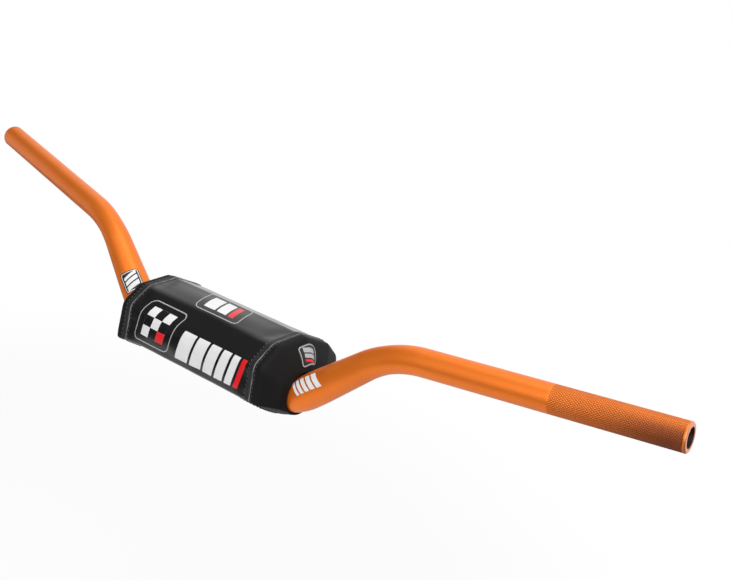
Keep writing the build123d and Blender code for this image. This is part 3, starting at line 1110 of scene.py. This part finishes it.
def addStitches(store, place, start, end):
    # place(run, lift) gives points on a line. Each stitch is a ring of corners carried along it,
    # over an arch of a cosine less a cube, and thins like an ellipse to its ends.
    count = int(abs(end - start) / thread["pitch"])
    centres = start + (np.arange(count) + 0.5) * (end - start) / count
    reach = np.linspace(-0.5, 0.5, thread["rows"])
    run = centres[:, None] + reach * thread["length"]
    lift = thread["rise"] * np.cos(math.pi * reach) - thread["sink"] * (2 * np.abs(reach)) ** 3
    middle = place(run, lift)
    way = unit(np.gradient(middle, axis=1))
    out = unit(place(run, lift + thread["probe"]) - middle)
    size = thread["radius"] * np.sqrt(1 - (1.8 * reach) ** 2 * 0.9)
    angle = (np.arange(thread["sides"]) * 2 * math.pi / thread["sides"])[:, None]
    swing = np.cos(angle) * out[:, :, None] + np.sin(angle) * np.cross(way, out)[:, :, None]
    points = middle[:, :, None] + size[:, None, None] * swing
    index = np.arange(points.size // 3).reshape(points.shape[:3]) + store["count"]
    wrapped = np.concatenate([index, index[:, :, :1]], axis=2)
    low, high = wrapped[:, :-1], wrapped[:, 1:]
    skin = np.stack([low[..., :-1], high[..., :-1], high[..., 1:], low[..., 1:]], axis=-1)
    ends = np.stack([index[:, 0, :], index[:, -1, ::-1]], axis=1)
    addFaces(store, points, np.concatenate([skin.reshape(-1, 4), ends.reshape(-1, 4)]))


def makeSeamStitches():
    # A row on either side of each binding, and one beside each hem and the rear seam.
    store = newStore()
    beside = binding["half"] + thread["besideBinding"]
    for t in (bindingT - beside, bindingT + beside, -bindingT + beside, -bindingT - beside):
        addStitches(store, lambda run, lift: padPoint(run, t, lift), frontBandRun, rearBandRun)
    half = pad["seam"] - thread["endMargin"]
    for s in (rearSeamRun + thread["besideHem"], thread["besideHem"], rearHemRun - thread["besideHem"]):
        addStitches(store, lambda run, lift: padPoint(s, run, lift), -half, half)
    finishMesh("seamStitches", store, [threadFinish])


makeSeamStitches()

# A moulded badge on the near end of the pad: a domed plate with rounded corners that follows the
# panel under it.
badge = {
    "centre": (0.0996, 0.0938),
    "half": (0.0074, 0.0092),
    "squareness": 0.55,
    "narrowed": 0.76,
    "rim": 0.0006,
    "dome": 0.0005,
    "sink": 0.0004,
    "rounding": 0.0032,
    "line": 0.0007,
    "lineInset": 0.0011,
    "bars": {"centre": (0.0002, 0.0003), "widths": [0.0034, 0.0026, 0.0014], "gap": 0.0009,
             "half": 0.0050, "slant": 0.25},
    "around": 72,
    "over": [0.0, 0.25, 0.5, 0.7, 0.84, 0.93, 0.98, 1.0],
    "under": [1.0, 0.6, 0.0],
}


def paintBadge(wire):
    # Black rubber with a pale line inside its edge, two pale bars and a red one.
    u, v = pieceCoordinates(wire)
    plate = boxField(u, v, (0.0, 0.0), badge["half"], badge["rounding"])
    bars = leaningBars(u, v, badge["bars"])
    pale = keyline(plate + badge["lineInset"], badge["line"]).most(inside(nearestOf(bars[:-1])))
    grain = noise(wire, 900.0)
    colour = pale.mixed(grain.mixed(tones["vinyl"], tones["vinylPale"]), tones["paleGrey"])
    return {
        "Base Color": inside(bars[-1]).mixed(colour, tones["red"]),
        "Roughness": 0.3 + grain * 0.1,
        "Normal": bump(wire, grain, 0.00005, 0.5),
    }


def makeBadge():
    # Rings of a rounded square, softSign of cos by softSign of sin, from the middle out over a low
    # dome and back under it.
    share = np.array(badge["over"] + badge["under"])
    over = np.arange(len(share)) < len(badge["over"])
    dome = badge["rim"] * (1 - share ** 16 * 0.6) + badge["dome"] * (1 - share ** 2)
    lift = np.where(over, dome, -badge["sink"])
    angle = np.linspace(-math.pi, math.pi, badge["around"] + 1)
    u, v = (share[:, None] * softSign(swing(angle), badge["squareness"]) * half
            for swing, half in zip((np.cos, np.sin), badge["half"]))
    middleT, middleS = badge["centre"]
    points = padPoint(middleS + v / badge["narrowed"], middleT + u, lift[:, None])[:, :-1]
    store = newStore()
    addGrid(store, points, np.stack([u, v], axis=-1), closeAround=True)
    finish = newMaterial("badgeRubber", paintBadge, {"IOR": 1.5})
    finishMesh("endBadge", store, [finish])


makeBadge()
print("badge made")

# Foam block: the CAD block, remeshed and a little smaller, so that it lies under the cover.
foam = {"weld": 0.00001, "voxel": 0.0022, "smoothing": 2, "inset": 0.0014, "grain": 0.00025,
        "waves": (1900, 2300, 2100)}


def makeFoam():
    block = newObject("foamStart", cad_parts["foam_core"].data.copy())
    block.modifiers.new("weld", "WELD").merge_threshold = foam["weld"]
    remesh = block.modifiers.new("remesh", "REMESH")
    remesh.mode = "VOXEL"
    remesh.voxel_size = foam["voxel"]
    block.modifiers.new("smooth", "SMOOTH").iterations = foam["smoothing"]
    bpy.context.view_layer.update()
    made = bpy.data.meshes.new_from_object(block.evaluated_get(bpy.context.evaluated_depsgraph_get()))
    bpy.data.objects.remove(block)
    places = getAll(made.vertices, "co")
    grain = np.prod(np.sin(places * foam["waves"]), axis=1)
    places -= getAll(made.vertices, "normal") * (foam["inset"] + foam["grain"] * grain)[:, None]
    setAll(made.vertices, "co", leanWithPad(places))
    setAll(made.polygons, "use_smooth", np.ones(len(made.polygons)), bool)
    made.materials.clear()
    made.materials.append(newMaterial("foam", paintFoam))
    made.update()
    made.name = "foamBlock"
    piece = newPiece("foamBlock", made, "foam_core")
    print("foam made:", len(made.polygons), "faces")


makeFoam()

# Straps and tapes under the pad, in the section's y and z at the stations of the CAD straps. Their
# sewn ends lie where the cover's turned edges do, a seat above the section.
strap = {
    "thickness": 0.0012,
    "tapeThickness": 0.0009,
    "sewn": -0.0304,
    "margin": 0.001,
    "tapeEnds": (0.032, 0.046),
    "slack": 0.0001,
    "seat": 0.0008,
    "step": 0.0005,
    "around": 28,
    "ribPitch": 0.0016,
    "ribDepth": 0.00009,
    "herringbone": 0.0011,
    "edges": (0.35, 0.6),
    "softness": 0.004,
    "averaged": 9,
    "stitchedFront": (0.002, 0.011),
    "stitchedRear": (0.0125, 0.0015),
    "stitchedSides": (-0.008, 0.008),
    "stitchedAcross": (-0.0075, 0.0075),
}
webbingFinish = newMaterial("webbing", paintWebbing)
loopFinish = newMaterial("loopTape", paintTape(1400.0, 0.8))
hookFinish = newMaterial("hookTape", paintTape(900.0, 0.45))


def softLine(points):
    # Points at even steps along a line of straights, its corners rounded by a moving average.
    points = np.array(points)
    run = runAlong(points)
    fine = spread(0, run[-1], strap["step"])
    room = np.minimum(np.minimum(fine, run[-1] - fine) * 2, strap["softness"])
    where = fine + np.linspace(-0.5, 0.5, strap["averaged"])[:, None] * room
    return fine, np.stack([np.interp(where, run, points[:, n]).mean(axis=0) for n in (0, 1)], axis=1)


def stripPlace(line, xMiddle):
    # place(run along the line, lift below its underside, across): a point of a strip.
    fine, points = line
    way = unit(np.gradient(points, axis=0))
    down = np.stack([way[:, 1], -way[:, 0]], axis=1)

    def place(run, lift, across=0.0):
        run, lift, across = np.broadcast_arrays(run, lift, across)
        y, z = (np.interp(run, fine, points[:, n]) + np.interp(run, fine, down[:, n]) * lift for n in (0, 1))
        return leanWithPad(np.stack([xMiddle + across, y, z], axis=-1))
    return place, float(fine[-1])


def makeStrip(name, points, xLimits, thickness, finish, replaced, ribDepth=0.0):
    # A flat loop carried along a line, with ribs across it: softSign of cos by softSign of sin.
    line = softLine(points)
    place, length = stripPlace(line, sum(xLimits) / 2)
    turn = np.linspace(0, 2 * math.pi, strap["around"] + 1)
    wide, high = strap["edges"]
    across = softSign(np.cos(turn), wide) * (xLimits[1] - xLimits[0]) / 2
    run = line[0][:, None]
    rib = ribDepth * np.sin(run * 2 * math.pi / strap["ribPitch"])
    lift = thickness / 2 + softSign(np.sin(turn[:-1]), high) * (thickness / 2 + rib)
    points = place(run, lift, across[:-1])
    store = newStore()
    addGrid(store, points, np.stack(np.broadcast_arrays(run, across), axis=-1), closeAround=True)
    capEnds(store, points)
    finishMesh(name, store, [finish], replaced)
    return place, length


def strapStitches(store, place, length):
    # A box of stitches at either end of a strap.
    lift0 = strap["thickness"]
    rear = tuple(length - off for off in strap["stitchedRear"])
    for start, end in (strap["stitchedFront"], rear):
        for across in strap["stitchedSides"]:
            addStitches(store, lambda run, lift: place(run, lift + lift0, across), start, end)
        for run in (start, end):
            addStitches(store, lambda across, lift: place(run, lift + lift0, across),
                        *strap["stitchedAcross"])


def makeStraps():
    # Each strap runs from the front hem under the sole to the rear, where a hook tape on it meets a
    # loop tape on the cover.
    tapeEnds, seat, slack = strap["tapeEnds"], strap["seat"], strap["slack"]
    hookDrop = slack + strap["tapeThickness"]
    drops = [(strap["sewn"], -seat), (pad["corners"][-1][0], slack), (pad["corners"][-2][0], slack),
             (tapeEnds[0] - strap["margin"], 2 * hookDrop - seat), (tapeEnds[1], 2 * hookDrop - seat)]
    strapLine, loopLine, hookLine = (
        [(y, undersideAt(y) - drop) for y, drop in line]
        for line in (drops, [(y, -seat) for y in tapeEnds], [(y, hookDrop - seat) for y in tapeEnds]))
    store = newStore()
    for word in ("left", "right"):
        label = word.capitalize()
        low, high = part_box("closure_strap_" + word)
        limits = (low.x, high.x)
        makeStrip("loopTape" + label, loopLine, limits, strap["tapeThickness"], loopFinish,
                  "loop_tape_" + word)
        makeStrip("hookTape" + label, hookLine, limits, strap["tapeThickness"], hookFinish,
                  "hook_tape_" + word)
        place, length = makeStrip("strap" + label, strapLine, limits, strap["thickness"], webbingFinish,
                                  "closure_strap_" + word, strap["ribDepth"])
        strapStitches(store, place, length)
    finishMesh("strapStitches", store, [threadFinish])


makeStraps()
print("straps made")

# Camera: the photograph's viewing angle, its roll and its focal length in pixels.
view = {
    "azimuth": 40.396, "elevation": 21.585, "roll": 6.551,
    "distance": 1.00705, "aside": 0.128402, "above": 0.057662,
    "focalPixels": 1170.337, "imageWidth": 732, "sensorWidth": 36.0,
}


def makeCamera():
    azimuth, elevation, roll = (math.radians(view[key]) for key in ("azimuth", "elevation", "roll"))
    level = math.cos(elevation)
    back = Vector((math.sin(azimuth) * level, -math.cos(azimuth) * level, math.sin(elevation)))
    right = Vector((math.cos(azimuth), math.sin(azimuth), 0.0))
    up = back.cross(right)
    turned = right * math.cos(roll) + up * math.sin(roll)
    raised = up * math.cos(roll) - right * math.sin(roll)
    place = back * view["distance"] + turned * view["aside"] + raised * view["above"]
    data = bpy.data.cameras.new("camera")
    data.sensor_width = view["sensorWidth"]
    data.lens = view["focalPixels"] * view["sensorWidth"] / view["imageWidth"]
    data.clip_start = 0.01
    camera = newObject("camera", data)
    axes = Matrix((turned, raised, back)).transposed()
    camera.matrix_world = Matrix.Translation(place) @ axes.to_4x4()
    bpy.context.scene.camera = camera


makeCamera()

# Studio: a pale floor well below the bar, a white backdrop behind it, and soft lamps.
studio = {
    "floorDrop": 0.30,
    "floorHalf": 9.0,
    "floorMiddle": (-0.22, -0.18, 0.0),
    "floorNear": 0.25,
    "floorFar": 0.9,
    "floorBehind": (0.25, 0.8),
    "floorColour": 0.86,
    "floorColourFar": 0.12,
    "shadowShare": 0.14,
    "backLevel": 1.0,
    "frontLevel": 0.2,
    "nearLevel": 0.62,
    "nearSpan": (-0.48, -0.26),
    "backTowards": (-0.1, 0.9, 0.42),
    "backSpan": (0.25, 0.7),
    "sideSpan": (-0.72, -0.84),
    "sideShare": 0.62,
}
lamps = {
    "topLamp": {"place": (0.15, 0.05, 1.0), "aim": (0.0, 0.0, 0.0), "size": 0.8, "power": 2.2},
    "frontLamp": {"place": (0.95, -1.35, 1.0), "aim": (0.05, 0.0, 0.0), "size": 2.6, "power": 29.0},
    "sideLamp": {"place": (-1.25, -0.15, -0.05), "aim": (-0.2, 0.0, 0.08), "size": 0.9, "power": 1.3},
}


def seenPlainly(rays):
    # 1 for rays that come from the camera, straight or through something clear.
    return rays.pick("Is Camera Ray").most(rays.pick("Is Transmission Ray"))


def makeFloor():
    # White to the camera. Near the bar it shows the bar's shadow; near and behind it, it is white
    # in the bar's gloss too.
    half = studio["floorHalf"]
    level = cadBox[0][2] - studio["floorDrop"]
    corners = [(-half, -half, level), (half, -half, level), (half, half, level), (-half, half, level)]
    mesh = bpy.data.meshes.new("floor")
    mesh.from_pydata(corners, [], [(0, 1, 2, 3)])
    made = bpy.data.materials.new("floorPaint")
    wire = emptyTree(made)
    place = objectPlace(wire)
    away = wire.add("VectorMath", {0: place, 1: studio["floorMiddle"]}, operation="DISTANCE").pick("Value")
    near = away.ramp(studio["floorFar"], studio["floorNear"])
    behind = wire.add("SeparateXYZ", {0: place}).pick(1).ramp(*studio["floorBehind"])
    rays = wire.add("LightPath")
    white = seenPlainly(rays) * (1.0 - near * studio["shadowShare"])
    gloss = rays.pick("Is Glossy Ray") * near.most(behind)
    colour = near.mixed(grey(studio["floorColourFar"]), grey(studio["floorColour"]))
    plain = wire.add("BsdfDiffuse", {"Color": colour})
    bright = wire.add("Emission", {"Color": grey(1.0), "Strength": 1.0})
    mixed = wire.add("MixShader", {0: white.most(gloss), 1: plain, 2: bright})
    wire.add("OutputMaterial", {"Surface": mixed})
    mesh.materials.append(made)
    newObject("floor", mesh)


def makeRoom():
    # White to the camera. As light it is white behind the bar, grey at the near end's side, and dim in
    # front of the pad and at the far side.
    world = bpy.data.worlds.new("room")
    bpy.context.scene.world = world
    wire = emptyTree(world)
    way = wire.add("TexCoord").pick("Generated")
    towards = wire.add("VectorMath", {0: way, 1: studio["backTowards"]}, operation="DOT_PRODUCT")
    towards = towards.pick("Value")
    aside = wire.add("SeparateXYZ", {0: way})
    near = aside.ramp(*studio["nearSpan"])
    front = near * (studio["nearLevel"] - studio["frontLevel"]) + studio["frontLevel"]
    level = towards.ramp(*studio["backSpan"]) * (studio["backLevel"] - front) + front
    level = level * (1.0 - aside.ramp(*studio["sideSpan"]) * studio["sideShare"])
    strength = seenPlainly(wire.add("LightPath")).most(level)
    wire.add("OutputWorld", {"Surface": wire.add("Background", {"Color": grey(1.0), "Strength": strength})})


def makeLamps():
    for name, lamp in lamps.items():
        data = bpy.data.lights.new(name, "AREA")
        data.shape = "DISK"
        data.size = lamp["size"]
        data.energy = lamp["power"]
        light = newObject(name, data)
        light.location = lamp["place"]
        aim = Vector(lamp["aim"]) - Vector(lamp["place"])
        light.rotation_euler = aim.to_track_quat("-Z", "Y").to_euler()


makeFloor()
makeRoom()
makeLamps()
bpy.context.scene.view_settings.view_transform = "Standard"
print("studio made")
